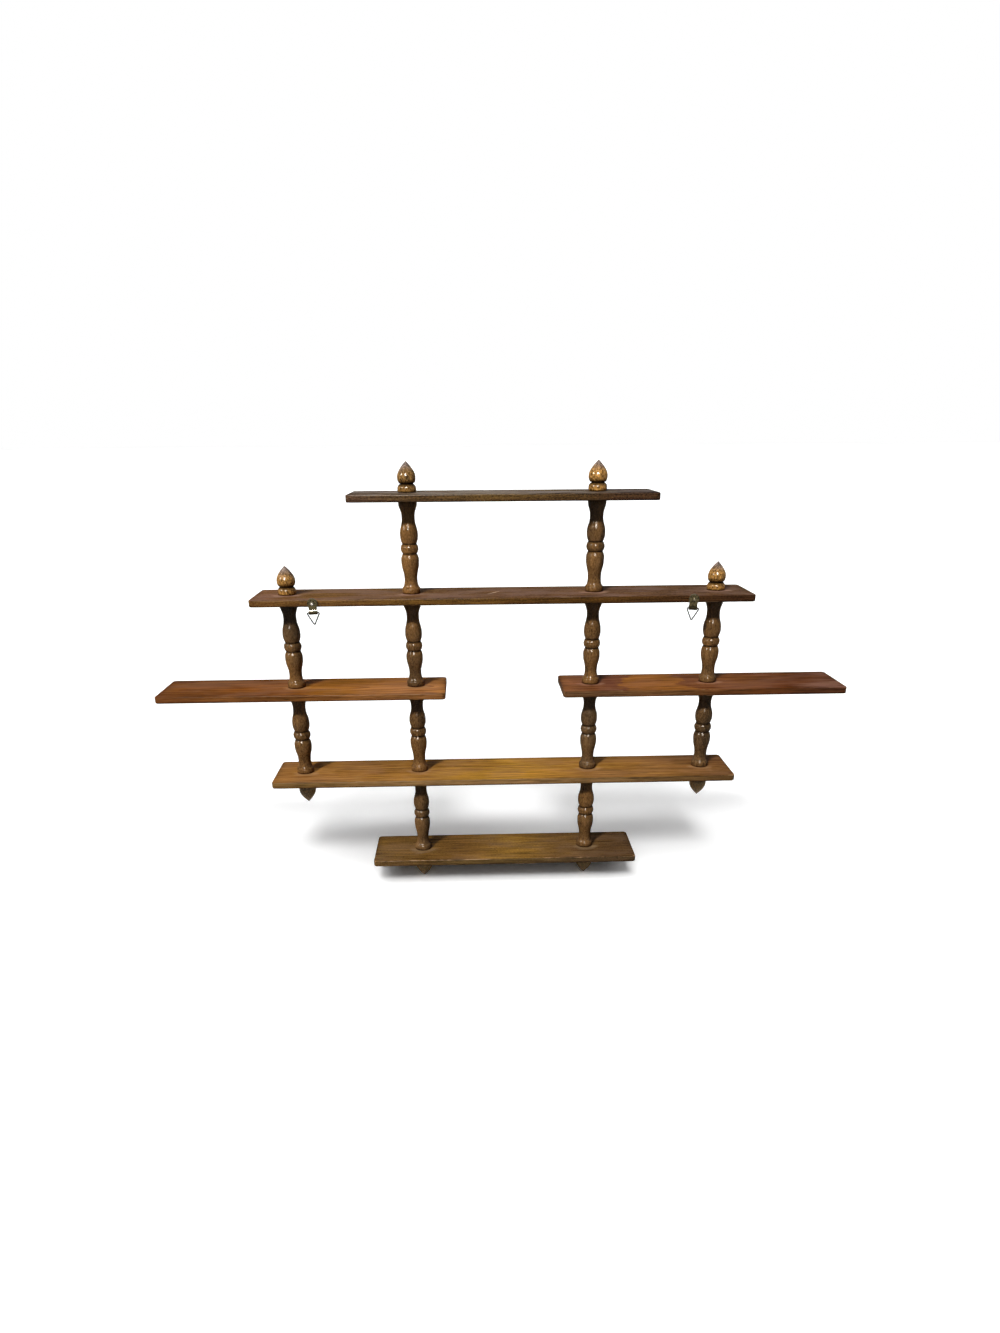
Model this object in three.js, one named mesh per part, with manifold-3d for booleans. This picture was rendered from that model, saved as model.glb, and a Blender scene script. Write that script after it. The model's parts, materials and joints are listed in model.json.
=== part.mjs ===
// Wall shelf in five steps: six thin wooden shelves on turned spindles,
// pointed finials above and below, and two wire-ring hangers on the wall side.
// Lengths are in millimetres. X runs along the wall, Y out from the wall, Z up.
// The origin lies on the wall plane, midway between the two hanger screws.

import * as THREE from 'three';
import { mergeVertices } from 'three/addons/utils/BufferGeometryUtils.js';
import Module from 'manifold-3d';

// Overall size: across the two middle shelves, and from finial point to finial point
const overallWidth = 800;
const overallHeight = 497;

// Columns: where the spindles stand
const innerColumnX = 103.8;
const outerColumnX = 244.1;
const columnY = 38;

// Shelves: one depth and one thickness for all. Each tier runs past the axis of its
// last column by its own overhang; a middle shelf does so towards the gap between them.
const shelfDepth = 76;
const shelfThickness = 7.8;
const topOverhang = 62.5;
const upperOverhang = 36.3;
const middleOverhang = 35.6;
const lowerOverhang = 35;
const bottomOverhang = 60.6;
const shelfCornerRadius = 3.6;
const shelfArris = 1;

// Glued tenons that pass through a shelf into the piece below it
const glueLine = 0.2;
const tenonRadius = 4;
const tenonBite = 9;
const tenonChamfer = 0.8;
const holeClearance = 0.25;
const socketRelief = 1.2;

// Spindle outline, from each end to the bead: both halves share these sizes
const collarRadius = 10.2;
const footRadius = 8.8;
const spindleCollarRise = 3.6;
const neckRadius = 7.3;
const swellRadius = 10.1;
const grooveRadius = 8;
const grooveToBead = 5.2;
const beadRadius = 10;
const beadBelowMiddle = 0.9;

// Each half has its own cove, neck and swell; the upper half counts from the top end
const lowerCoveBrow = 6;
const lowerCoveFoot = 8;
const lowerNeckRise = 15;
const lowerSwellToBead = 12.4;
const upperCoveBrow = 8;
const upperCoveFoot = 10;
const upperNeckRise = 17.5;
const upperSwellToBead = 13.8;

// Finial outline, from the face on the shelf out to the point
const finialHeight = 31.4;
const finialCollarRise = 3.4;
const finialShoulderRadius = 10.2;
const finialShoulderRise = 7.2;
const finialGrooveRadius = 6.7;
const finialGrooveRise = 8.8;
const acornRadius = 10.2;
const acornRise = 15.3;
const acornShoulderRise = 21.5;

// Hangers: a folded strap held by one screw, with a wire ring in its roll
const hangerInset = 33.9;
const leftHangerTilt = 2;
const rightHangerTilt = -4;
const strapSeat = 0.3;
const sheetThickness = 0.9;
const sheetSlot = 0.15;
const strapLobeRadius = 5.6;
const strapWaist = 8;
const rollWidth = 9.5;
const screwToBar = 9.6;
const wireRadius = 0.7;
const barClearance = 0.4;
const ringHalfWidth = 7.1;
const ringDrop = 13.4;
const ringCornerCut = 2.1;
const ringTipCut = 2;
const ringSeam = 0.3;
const screwRadius = 1.3;
const screwDepth = 14;
const screwPoint = 3.4;
const screwHeadRadius = 2.5;
const screwHeadHeight = 1.7;
const screwHoleClearance = 0.2;
const strapHoleClearance = 0.35;

// Facets, and how far a cutting tool runs past what it cuts
const spindleSteps = 14;
const finialSteps = 12;
const screwHeadSteps = 4;
const overrun = 2;

// Sizes that follow from the ones above
const topShelfLength = 2 * (innerColumnX + topOverhang);
const upperShelfLength = 2 * (outerColumnX + upperOverhang);
const middleShelfLength = overallWidth / 2 - innerColumnX + middleOverhang;
const lowerShelfLength = 2 * (outerColumnX + lowerOverhang);
const bottomShelfLength = 2 * (innerColumnX + bottomOverhang);
const hangerX = outerColumnX - hangerInset;
const finialReach = glueLine + finialHeight;
const pitchCount = 4; // from the bottom level up to the top one
const levelPitch = (overallHeight - shelfThickness - 2 * finialReach) / pitchCount;
const spindleLength = levelPitch - shelfThickness - 2 * glueLine;
const tenonLength = 2 * glueLine + shelfThickness + tenonBite;
const socketDepth = tenonBite + socketRelief;
const rollRadius = wireRadius + barClearance + sheetThickness;
const strapThickness = 2 * sheetThickness + sheetSlot;

// Top face of each level above the middle of the upper shelf's edge
const upperLevel = shelfThickness / 2;
const topLevel = upperLevel + levelPitch;
const middleLevel = upperLevel - levelPitch;
const lowerLevel = middleLevel - levelPitch;
const bottomLevel = lowerLevel - levelPitch;

const wasm = await Module();
wasm.setup();

// A closed solid from a closed geometry
function toSolid(geometry) {
  const bare = geometry.clone();
  bare.deleteAttribute('normal');
  bare.deleteAttribute('uv');
  const merged = mergeVertices(bare);
  return new wasm.Manifold(new wasm.Mesh({
    numProp: 3,
    vertProperties: new Float32Array(merged.attributes.position.array),
    triVerts: new Uint32Array(merged.index.array),
  }));
}

function toGeometry(solid) {
  const mesh = solid.getMesh();
  const geometry = new THREE.BufferGeometry();
  geometry.setAttribute('position', new THREE.BufferAttribute(mesh.vertProperties, mesh.numProp));
  geometry.setIndex(new THREE.BufferAttribute(mesh.triVerts, 1));
  geometry.computeVertexNormals();
  return geometry;
}

// A turned outline: each call adds points of radius and height to the last one
class Outline {
  constructor(radius, height) {
    this.points = [new THREE.Vector2(radius, height)];
  }

  get last() {
    return this.points[this.points.length - 1];
  }

  line(radius, height) {
    this.points.push(new THREE.Vector2(radius, height));
    return this;
  }

  // A round that bends towards a corner and ends at a point
  round(steps, cornerRadius, cornerHeight, radius, height) {
    const corner = new THREE.Vector2(cornerRadius, cornerHeight);
    const end = new THREE.Vector2(radius, height);
    const curve = new THREE.QuadraticBezierCurve(this.last, corner, end);
    this.points.push(...curve.getPoints(steps).slice(1));
    return this;
  }

  // An ogee that leaves parallel to the axis, turns between a brow and a foot height, and
  // arrives parallel to the axis again
  ogee(steps, browHeight, footHeight, radius, height) {
    const start = this.last;
    const curve = new THREE.CubicBezierCurve(
      start,
      new THREE.Vector2(start.x, browHeight),
      new THREE.Vector2(radius, footHeight),
      new THREE.Vector2(radius, height),
    );
    this.points.push(...curve.getPoints(steps).slice(1));
    return this;
  }
}

function turn(points, steps) {
  return new THREE.LatheGeometry(points, steps).rotateX(Math.PI / 2);
}

// The tenon under a foot, from its end on the axis up to the shoulder
function tenonPoints() {
  return new Outline(0, -tenonLength)
    .line(tenonRadius - tenonChamfer, -tenonLength)
    .line(tenonRadius, tenonChamfer - tenonLength)
    .line(tenonRadius, 0)
    .points;
}

// A blind hole that goes down from a mouth at some height to its floor on the axis
function socketPoints(mouth) {
  const radius = tenonRadius + holeClearance;
  return new Outline(radius, mouth)
    .line(radius, mouth - socketDepth)
    .line(0, mouth - socketDepth)
    .points;
}

// Half a spindle, from one end to the middle of its bead
function halfSpindle(coveBrow, coveFoot, neckRise, swellToBead, beadRise) {
  const swellRise = beadRise - swellToBead;
  const grooveRise = beadRise - grooveToBead;
  const slopeMiddle = (neckRise + swellRise) / 2;
  return new Outline(footRadius, 0)
    .round(1, collarRadius, 0, collarRadius, spindleCollarRise)
    .ogee(3, coveBrow, coveFoot, neckRadius, neckRise)
    .ogee(2, slopeMiddle, slopeMiddle, swellRadius, swellRise)
    .round(2, swellRadius, (swellRise + grooveRise) / 2, grooveRadius, grooveRise)
    .round(2, beadRadius, grooveRise, beadRadius, beadRise)
    .points;
}

// The upper half is worked out from the top end, then turned end for end
function spindleGeometry() {
  const beadRise = spindleLength / 2 - beadBelowMiddle;
  const beadDrop = spindleLength - beadRise;
  const lower = halfSpindle(
    lowerCoveBrow,
    lowerCoveFoot,
    lowerNeckRise,
    lowerSwellToBead,
    beadRise,
  );
  const upper = halfSpindle(
    upperCoveBrow,
    upperCoveFoot,
    upperNeckRise,
    upperSwellToBead,
    beadDrop,
  );
  const turnedOver = upper
    .slice(0, -1)
    .reverse()
    .map((point) => new THREE.Vector2(point.x, spindleLength - point.y));
  const points = [...tenonPoints(), ...lower, ...turnedOver, ...socketPoints(spindleLength)];
  return turn(points, spindleSteps);
}

// The finial from its foot up to the point on the axis
function finialBody() {
  return new Outline(footRadius, 0)
    .round(1, collarRadius, 0, collarRadius, finialCollarRise)
    .round(2, finialShoulderRadius, finialShoulderRise, finialGrooveRadius, finialGrooveRise)
    .round(2, acornRadius, finialGrooveRise, acornRadius, acornRise)
    .round(3, acornRadius, acornShoulderRise, 0, finialHeight)
    .points;
}

function topFinialGeometry() {
  return turn([...tenonPoints(), ...finialBody()], finialSteps);
}

// The hanging finial has a socket in its foot instead of a tenon
function dropFinialGeometry() {
  const radius = tenonRadius + holeClearance;
  const socket = new Outline(0, socketDepth)
    .line(radius, socketDepth)
    .line(radius, 0)
    .points;
  return turn([...socket, ...finialBody()], finialSteps);
}

function roundHole(radius, length) {
  return new THREE.CylinderGeometry(radius, radius, length, spindleSteps);
}

// A shelf with round plan corners and eased edges, bored where spindles pass
function shelfGeometry(length, columns, drill = (solid) => solid) {
  const halfLength = length / 2 - shelfArris;
  const round = shelfCornerRadius - shelfArris;
  const near = shelfArris;
  const far = shelfDepth - shelfArris;
  const plan = new THREE.Shape()
    .moveTo(-halfLength + round, near)
    .lineTo(halfLength - round, near)
    .absarc(halfLength - round, near + round, round, -Math.PI / 2, 0)
    .lineTo(halfLength, far - round)
    .absarc(halfLength - round, far - round, round, 0, Math.PI / 2)
    .lineTo(-halfLength + round, far)
    .absarc(-halfLength + round, far - round, round, Math.PI / 2, Math.PI)
    .lineTo(-halfLength, near + round)
    .absarc(-halfLength + round, near + round, round, Math.PI, 1.5 * Math.PI);
  const board = new THREE.ExtrudeGeometry(plan, {
    depth: shelfThickness - 2 * shelfArris,
    bevelThickness: shelfArris,
    bevelSize: shelfArris,
    bevelSegments: 2,
    curveSegments: 2,
  }).translate(0, 0, shelfArris - shelfThickness);
  let solid = toSolid(board);
  for (const x of columns) {
    const hole = roundHole(tenonRadius + holeClearance, shelfThickness + 2 * overrun)
      .rotateX(Math.PI / 2)
      .translate(x, columnY, -shelfThickness / 2);
    solid = solid.subtract(toSolid(hole));
  }
  return toGeometry(drill(solid));
}

// Pilot holes for the hanger screws, bored into the wall-side edge
function drillEdge(board) {
  const length = screwDepth + socketRelief + overrun;
  let solid = board;
  for (const x of [-hangerX, hangerX]) {
    const hole = roundHole(screwRadius + screwHoleClearance, length)
      .translate(x, length / 2 - overrun, -shelfThickness / 2);
    solid = solid.subtract(toSolid(hole));
  }
  return solid;
}

// The folded strap seen from its side: distance from the wall edge, then height
function strapSideShape(top) {
  const innerRadius = rollRadius - sheetThickness;
  const slotFront = sheetThickness + sheetSlot;
  const outerEnd = Math.acos((strapThickness - rollRadius) / rollRadius);
  const innerEnd = Math.acos((slotFront - rollRadius) / innerRadius);
  return new THREE.Shape()
    .moveTo(0, top)
    .lineTo(0, -screwToBar)
    .absarc(rollRadius, -screwToBar, rollRadius, -Math.PI, outerEnd)
    .lineTo(strapThickness, top)
    .lineTo(slotFront, top)
    .absarc(rollRadius, -screwToBar, innerRadius, innerEnd, -Math.PI, true)
    .lineTo(sheetThickness, top);
}

// The strap seen from the wall: a round lobe, a slight waist and a straight roll
function strapFrontShape() {
  const rollTop = rollRadius - screwToBar;
  const lobeStart = -Math.PI / 6;
  const lobeX = strapLobeRadius * Math.cos(lobeStart);
  const lobeZ = strapLobeRadius * Math.sin(lobeStart);
  const waistZ = (rollTop + lobeZ) / 2;
  const bottom = -screwToBar - rollRadius - overrun;
  return new THREE.Shape()
    .moveTo(-rollWidth / 2, bottom)
    .lineTo(rollWidth / 2, bottom)
    .lineTo(rollWidth / 2, rollTop)
    .quadraticCurveTo(strapWaist / 2, waistZ, lobeX, lobeZ)
    .absarc(0, 0, strapLobeRadius, lobeStart, Math.PI - lobeStart)
    .quadraticCurveTo(-strapWaist / 2, waistZ, -rollWidth / 2, rollTop);
}

// Axes that stand an outline up: the first two are where its X and Y go
const sideways = new THREE.Matrix4().makeBasis(
  new THREE.Vector3(0, -1, 0),
  new THREE.Vector3(0, 0, 1),
  new THREE.Vector3(-1, 0, 0),
);
const facing = new THREE.Matrix4().makeBasis(
  new THREE.Vector3(1, 0, 0),
  new THREE.Vector3(0, 0, 1),
  new THREE.Vector3(0, -1, 0),
);

function strapGeometry() {
  const width = 2 * strapLobeRadius + 2 * overrun;
  const thick = 2 * rollRadius + 2 * overrun;
  const sheet = new THREE.ExtrudeGeometry(strapSideShape(strapLobeRadius + overrun), {
    depth: width,
    bevelEnabled: false,
    curveSegments: 6,
  }).translate(0, 0, -width / 2).applyMatrix4(sideways);
  const blank = new THREE.ExtrudeGeometry(strapFrontShape(), {
    depth: thick,
    bevelEnabled: false,
    curveSegments: 5,
  }).translate(0, 0, -overrun).applyMatrix4(facing);
  const hole = roundHole(screwRadius + strapHoleClearance, thick);
  return toGeometry(toSolid(sheet).intersect(toSolid(blank)).subtract(toSolid(hole)));
}

// The wire ring: its bar lies on the local X axis and its point hangs down.
// The wire's two ends meet inside the strap's roll.
function ringGeometry() {
  const corner = new THREE.Vector3(ringHalfWidth, 0, 0);
  const tip = new THREE.Vector3(0, 0, -ringDrop);
  const leg = new THREE.Vector3().subVectors(tip, corner).normalize();
  const barEnd = new THREE.Vector3(ringHalfWidth - ringCornerCut, 0, 0);
  const legTop = corner.clone().addScaledVector(leg, ringCornerCut);
  const legFoot = tip.clone().addScaledVector(leg, -ringTipCut);
  const seam = new THREE.Vector3(ringSeam / 2, 0, 0);
  const flip = (point) => new THREE.Vector3(-point.x, point.y, point.z);
  const wire = new THREE.CurvePath();
  wire.add(new THREE.LineCurve3(seam, barEnd));
  wire.add(new THREE.QuadraticBezierCurve3(barEnd, corner, legTop));
  wire.add(new THREE.LineCurve3(legTop, legFoot));
  wire.add(new THREE.QuadraticBezierCurve3(legFoot, tip, flip(legFoot)));
  wire.add(new THREE.LineCurve3(flip(legFoot), flip(legTop)));
  wire.add(new THREE.QuadraticBezierCurve3(flip(legTop), flip(corner), flip(barEnd)));
  wire.add(new THREE.LineCurve3(flip(barEnd), flip(seam)));
  const section = new THREE.Shape().absarc(0, 0, wireRadius, 0, 2 * Math.PI);
  return new THREE.ExtrudeGeometry(section, { extrudePath: wire, steps: 36, curveSegments: 3 });
}

// A wood screw whose head sits just clear of the strap, its point along +Y
function screwGeometry() {
  const underHead = strapSeat + strapThickness + glueLine;
  const top = underHead + screwHeadHeight;
  const points = new Outline(0, -screwDepth)
    .line(screwRadius, screwPoint - screwDepth)
    .line(screwRadius, underHead)
    .line(screwHeadRadius, underHead)
    .round(screwHeadSteps, screwHeadRadius, top, 0, top)
    .points;
  return new THREE.LatheGeometry(points, finialSteps).rotateX(Math.PI);
}

const etagere = new THREE.Group();

function place(parent, name, geometry, finish, x, y, z) {
  const material = new THREE.MeshStandardMaterial(finish);
  const mesh = new THREE.Mesh(geometry, material);
  mesh.name = name;
  mesh.position.set(x, y, z);
  parent.add(mesh);
  return mesh;
}

// Stained wood, darkest on the upper shelves and golden on the lower ones
const walnutBrown = { color: 0x5f4536, roughness: 0.42, metalness: 0 };
const redBrown = { color: 0x7a4a2c, roughness: 0.42, metalness: 0 };
const goldenBrown = { color: 0x8a6034, roughness: 0.42, metalness: 0 };
const oliveBrown = { color: 0x6e4f2b, roughness: 0.42, metalness: 0 };
const spindleBrown = { color: 0x55402a, roughness: 0.35, metalness: 0 };
const finialGold = { color: 0x9c7440, roughness: 0.3, metalness: 0 };
const darkBrass = { color: 0x5d5638, roughness: 0.45, metalness: 1 };
const brightSteel = { color: 0xb9b9b4, roughness: 0.28, metalness: 1 };

const inner = [-innerColumnX, innerColumnX];
const outer = [-outerColumnX, outerColumnX];
const middleShelfX = (overallWidth - middleShelfLength) / 2;

place(etagere, 'top_shelf', shelfGeometry(topShelfLength, inner), walnutBrown, 0, 0, topLevel);
place(
  etagere,
  'upper_shelf',
  shelfGeometry(upperShelfLength, [...inner, ...outer], drillEdge),
  walnutBrown,
  0,
  0,
  upperLevel,
);
place(
  etagere,
  'lower_shelf',
  shelfGeometry(lowerShelfLength, [...inner, ...outer]),
  goldenBrown,
  0,
  0,
  lowerLevel,
);
place(
  etagere,
  'bottom_shelf',
  shelfGeometry(bottomShelfLength, inner),
  oliveBrown,
  0,
  0,
  bottomLevel,
);

const sides = [
  { side: 'left', sign: -1, tilt: leftHangerTilt },
  { side: 'right', sign: 1, tilt: rightHangerTilt },
];

// A spindle stands on each level at these columns, up to the level above
const tiers = [
  { tier: 'crown', level: upperLevel, columns: { inner: innerColumnX } },
  { tier: 'upper', level: middleLevel, columns: { inner: innerColumnX, outer: outerColumnX } },
  { tier: 'lower', level: lowerLevel, columns: { inner: innerColumnX, outer: outerColumnX } },
  { tier: 'base', level: bottomLevel, columns: { inner: innerColumnX } },
];

for (const { side, sign, tilt } of sides) {
  const shelfX = sign * middleShelfX;
  const columns = [sign * innerColumnX - shelfX, sign * outerColumnX - shelfX];
  const middleShelf = shelfGeometry(middleShelfLength, columns);
  place(etagere, `${side}_middle_shelf`, middleShelf, redBrown, shelfX, 0, middleLevel);

  for (const { tier, level, columns: places } of tiers) {
    for (const [row, x] of Object.entries(places)) {
      const name = `${tier}_${row}_spindle_${side}`;
      place(etagere, name, spindleGeometry(), spindleBrown, sign * x, columnY, level + glueLine);
    }
  }

  const finials = [
    { name: `top_finial_${side}`, x: innerColumnX, level: topLevel },
    { name: `shoulder_finial_${side}`, x: outerColumnX, level: upperLevel },
  ];
  for (const { name, x, level } of finials) {
    place(etagere, name, topFinialGeometry(), finialGold, sign * x, columnY, level + glueLine);
  }

  const drops = [
    { name: `outer_drop_${side}`, x: outerColumnX, level: lowerLevel },
    { name: `inner_drop_${side}`, x: innerColumnX, level: bottomLevel },
  ];
  for (const { name, x, level } of drops) {
    const seat = level - shelfThickness - glueLine;
    const drop = place(etagere, name, dropFinialGeometry(), finialGold, sign * x, columnY, seat);
    drop.rotation.x = Math.PI;
  }

  place(etagere, `hanger_screw_${side}`, screwGeometry(), brightSteel, sign * hangerX, 0, 0);
  const hanger = new THREE.Group();
  hanger.position.set(sign * hangerX, -strapSeat, 0);
  hanger.rotation.y = -THREE.MathUtils.degToRad(tilt);
  place(hanger, `hanger_strap_${side}`, strapGeometry(), darkBrass, 0, 0, 0);
  place(hanger, `hanger_ring_${side}`, ringGeometry(), brightSteel, 0, -rollRadius, -screwToBar);
  etagere.add(hanger);
}

export default etagere;
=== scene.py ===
import json
import math

import bmesh
import bpy
import numpy as np
from mathutils import Matrix, Vector

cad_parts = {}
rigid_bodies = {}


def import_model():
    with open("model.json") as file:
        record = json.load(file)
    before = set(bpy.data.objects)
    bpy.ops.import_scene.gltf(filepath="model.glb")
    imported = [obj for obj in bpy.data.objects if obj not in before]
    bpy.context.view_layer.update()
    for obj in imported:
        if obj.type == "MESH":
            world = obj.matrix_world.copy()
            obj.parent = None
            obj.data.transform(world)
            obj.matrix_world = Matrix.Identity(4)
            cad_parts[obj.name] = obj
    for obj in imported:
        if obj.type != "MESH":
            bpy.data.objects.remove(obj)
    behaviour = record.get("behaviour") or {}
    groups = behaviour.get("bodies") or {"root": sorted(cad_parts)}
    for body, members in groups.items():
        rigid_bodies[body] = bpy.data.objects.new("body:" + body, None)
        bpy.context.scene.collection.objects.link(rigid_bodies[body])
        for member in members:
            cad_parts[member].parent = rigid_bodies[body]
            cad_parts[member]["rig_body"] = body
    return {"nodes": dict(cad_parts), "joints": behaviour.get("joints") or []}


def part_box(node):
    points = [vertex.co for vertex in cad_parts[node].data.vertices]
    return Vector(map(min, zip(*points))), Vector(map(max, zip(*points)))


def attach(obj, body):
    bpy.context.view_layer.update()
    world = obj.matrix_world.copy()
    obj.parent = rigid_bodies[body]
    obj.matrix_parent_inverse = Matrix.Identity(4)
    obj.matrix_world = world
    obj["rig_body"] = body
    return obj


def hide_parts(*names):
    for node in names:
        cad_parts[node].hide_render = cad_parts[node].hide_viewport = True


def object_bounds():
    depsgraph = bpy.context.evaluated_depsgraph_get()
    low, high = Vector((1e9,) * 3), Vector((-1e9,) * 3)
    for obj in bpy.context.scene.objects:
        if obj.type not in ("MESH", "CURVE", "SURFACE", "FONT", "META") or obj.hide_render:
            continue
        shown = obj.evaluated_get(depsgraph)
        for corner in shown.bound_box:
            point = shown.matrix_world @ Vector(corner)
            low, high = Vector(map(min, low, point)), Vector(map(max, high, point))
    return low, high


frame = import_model()
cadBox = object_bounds()
scene = bpy.context.scene
nodes = frame["nodes"]
joints = {joint["name"]: joint for joint in frame["joints"]}

view = {
    "place": (-0.0375, -0.9768, 0.1634),  # metres
    "pitchDown": 0.4293,  # radians
    "heading": -0.0318,
    "roll": -0.0065,
    "focalPixels": 868.75,
    "axisPixelY": 835.75,
    "imageHigh": 1333,
    "sensor": 36,
}


# A new object in the scene
def addObject(name, data):
    added = bpy.data.objects.new(name, data)
    scene.collection.objects.link(added)
    return added


# The camera's axes: forward = cos(p) h - sin(p) Z and above = sin(p) h + cos(p) Z for a level
# heading h and a pitch p, and a roll r makes right = cos(r) side + sin(r) above
def placeCamera():
    heading, pitch, roll = view["heading"], view["pitchDown"], view["roll"]
    level = Vector((-math.sin(heading), math.cos(heading), 0))
    side = Vector((math.cos(heading), math.sin(heading), 0))
    forward = math.cos(pitch) * level - math.sin(pitch) * Vector((0, 0, 1))
    above = math.sin(pitch) * level + math.cos(pitch) * Vector((0, 0, 1))
    right = math.cos(roll) * side + math.sin(roll) * above
    top = math.cos(roll) * above - math.sin(roll) * side
    data = bpy.data.cameras.new("viewpoint")
    data.sensor_width = view["sensor"]
    data.lens = view["focalPixels"] / view["imageHigh"] * view["sensor"]
    data.shift_y = (view["axisPixelY"] - view["imageHigh"] / 2) / view["imageHigh"]
    turn = Matrix((right, top, -forward)).transposed()
    scene.camera = addObject("viewpoint", data)
    scene.camera.matrix_world = Matrix.Translation(view["place"]) @ turn.to_4x4()


placeCamera()
scene.view_settings.view_transform = "Standard"
print("camera placed")


# A grid's quads: point (i, j) joins (i, j + 1), (i + 1, j + 1) and (i + 1, j), and the last
# column joins the first
def gridQuads(rows, columns):
    i = np.arange(rows - 1)[:, None] * columns
    j = np.arange(columns)[None, :]
    nextJ = (j + 1) % columns
    corners = (i + j, i + nextJ, i + columns + nextJ, i + columns + j)
    return np.stack(corners, axis=-1).reshape(-1, 4)


# Rounds every edge that turns by less than the sharp angle, in degrees
def smooth(mesh, sharpAngle):
    mesh.polygons.foreach_set("use_smooth", np.ones(len(mesh.polygons), bool))
    mesh.set_sharp_from_angle(angle=math.radians(sharpAngle))


mergeWithin = 1e-6  # metres


# A closed skin from an array of rows x columns x 3, with its poles and seams merged
def makeSkin(name, grid, finish=None, sharpAngle=40, **marks):
    rows, columns = grid.shape[:2]
    quads = gridQuads(rows, columns)
    mesh = bpy.data.meshes.new(name)
    mesh.vertices.add(rows * columns)
    mesh.vertices.foreach_set("co", grid.astype(np.float32).ravel())
    mesh.loops.add(quads.size)
    mesh.loops.foreach_set("vertex_index", quads.ravel())
    mesh.polygons.add(len(quads))
    mesh.polygons.foreach_set("loop_start", np.arange(0, quads.size, 4))
    mesh.polygons.foreach_set("loop_total", np.full(len(quads), 4))
    mesh.update(calc_edges=True)
    for label, values in marks.items():
        spread = np.broadcast_to(values, (rows, columns)).astype(np.float32)
        mesh.attributes.new(label, "FLOAT", "POINT").data.foreach_set("value", spread.ravel())
    skin = bmesh.new()
    skin.from_mesh(mesh)
    bmesh.ops.remove_doubles(skin, verts=skin.verts, dist=mergeWithin)
    bmesh.ops.recalc_face_normals(skin, faces=skin.faces)
    skin.to_mesh(mesh)
    skin.free()
    if finish:
        mesh.materials.append(finish)
    smooth(mesh, sharpAngle)
    return addObject(name, mesh)


# Cuts one piece with others, which are then gone
def cutAway(piece, cutters, sharpAngle=40):
    for cutter in cutters:
        bore = piece.modifiers.new("bore", "BOOLEAN")
        bore.solver = "EXACT"
        bore.object = cutter
    graph = bpy.context.evaluated_depsgraph_get()
    cut = bpy.data.meshes.new_from_object(piece.evaluated_get(graph))
    piece.modifiers.clear()
    piece.data = cut
    smooth(cut, sharpAngle)
    for cutter in cutters:
        bpy.data.objects.remove(cutter)


# A piece takes the place of its CAD node, on that node's body
def standFor(piece, node):
    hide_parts(node)
    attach(piece, nodes[node]["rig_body"])


# A Bezier curve: the sum over control points k of C(n, k) (1 - t)^(n - k) t^k P_k
def bend(controls, steps):
    t = np.linspace(0, 1, steps + 1)[:, None]
    order = len(controls) - 1
    return sum(
        math.comb(order, k) * (1 - t) ** (order - k) * t**k * np.array(control, float)
        for k, control in enumerate(controls)
    )


# Bezier curves end to end, each with its own number of steps
def chain(curves, steps):
    parts = [bend(*curve) for curve in zip(curves, steps)]
    return np.vstack([part[:-1] for part in parts[:-1]] + parts[-1:])


# An ogee's control points: it leaves and arrives parallel to the axis, and its middle points
# stand at the heights of its brow and its foot
def ogee(start, end, brow, foot):
    return start, (start[0], brow), (end[0], foot), end


# A turned skin: an outline of radius r and height z gives (x + r cos a, y + r sin a, z)
def turned(outline, centre, steps):
    angle = np.linspace(0, 2 * np.pi, steps, endpoint=False)
    radius = outline[:, :1]
    x = centre[0] + radius * np.cos(angle)
    y = centre[1] + radius * np.sin(angle)
    z = np.broadcast_to(centre[2] + outline[:, 1:], x.shape)
    return np.stack((x, y, z), axis=-1)


# The outline of a rod round the axis, from one height to another
def rod(radius, low, high):
    return np.array([(0, low), (radius, low), (radius, high), (0, high)])


# A colour written as six hex digits, as the linear light that a shader needs
def dye(code):
    parts = np.array([int(code[k : k + 2], 16) for k in (0, 2, 4)]) / 255
    light = np.where(parts <= 0.04045, parts / 12.92, ((parts + 0.055) / 1.055) ** 2.4)
    return (*light, 1.0)


# Adds a shader node, and gives its outputs: an input takes a number, a colour or an output
def addNode(tree, kind, inputs=None, **settings):
    node = tree.nodes.new(f"ShaderNode{kind}")
    for key, value in settings.items():
        setattr(node, key, value)
    for key, value in (inputs or {}).items():
        if isinstance(value, bpy.types.NodeSocket):
            tree.links.new(value, node.inputs[key])
        else:
            node.inputs[key].default_value = value
    return node.outputs


# Blends two colours: (1 - share) x first + share x second
def mixed(tree, share, first, second):
    return addNode(tree, "Mix", {0: share, 6: first, 7: second}, data_type="RGBA")[2]


# A stain laid over a colour, as thick as the product of its shares
def layer(tree, colour, stain, share, *others):
    for other in others:
        share = calc(tree, "MULTIPLY", share, other)
    return mixed(tree, share, colour, dye(stain))


# A number for each point, worked out from one, two or three others
def calc(tree, operation, first, second=0.0, third=0.0):
    return addNode(tree, "Math", {0: first, 1: second, 2: third}, operation=operation)[0]


# A soft step from 0 at low to most at high, or down again where high is the lower one
def fade(tree, value, low, high, most=1.0):
    inputs = {0: value, 1: low, 2: high, 3: 0.0, 4: most}
    return addNode(tree, "MapRange", inputs, interpolation_type="SMOOTHSTEP")[0]


# A value from 0 to 1 spread evenly from low to high
def stretch(tree, value, low, high):
    return addNode(tree, "MapRange", {0: value, 3: low, 4: high})[0]


# A number that each point of a mesh carries
def mark(tree, name):
    return addNode(tree, "Attribute", attribute_name=name)["Fac"]


# Where a point lies on its piece, in metres
def placeOn(tree):
    if "place" not in tree.nodes:
        addNode(tree, "TexCoord", name="place")
    return tree.nodes["place"].outputs["Object"]


# That place moved, turned and scaled
def mapped(tree, inputs, kind="POINT"):
    return addNode(tree, "Mapping", {"Vector": placeOn(tree), **inputs}, vector_type=kind)[0]


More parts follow.
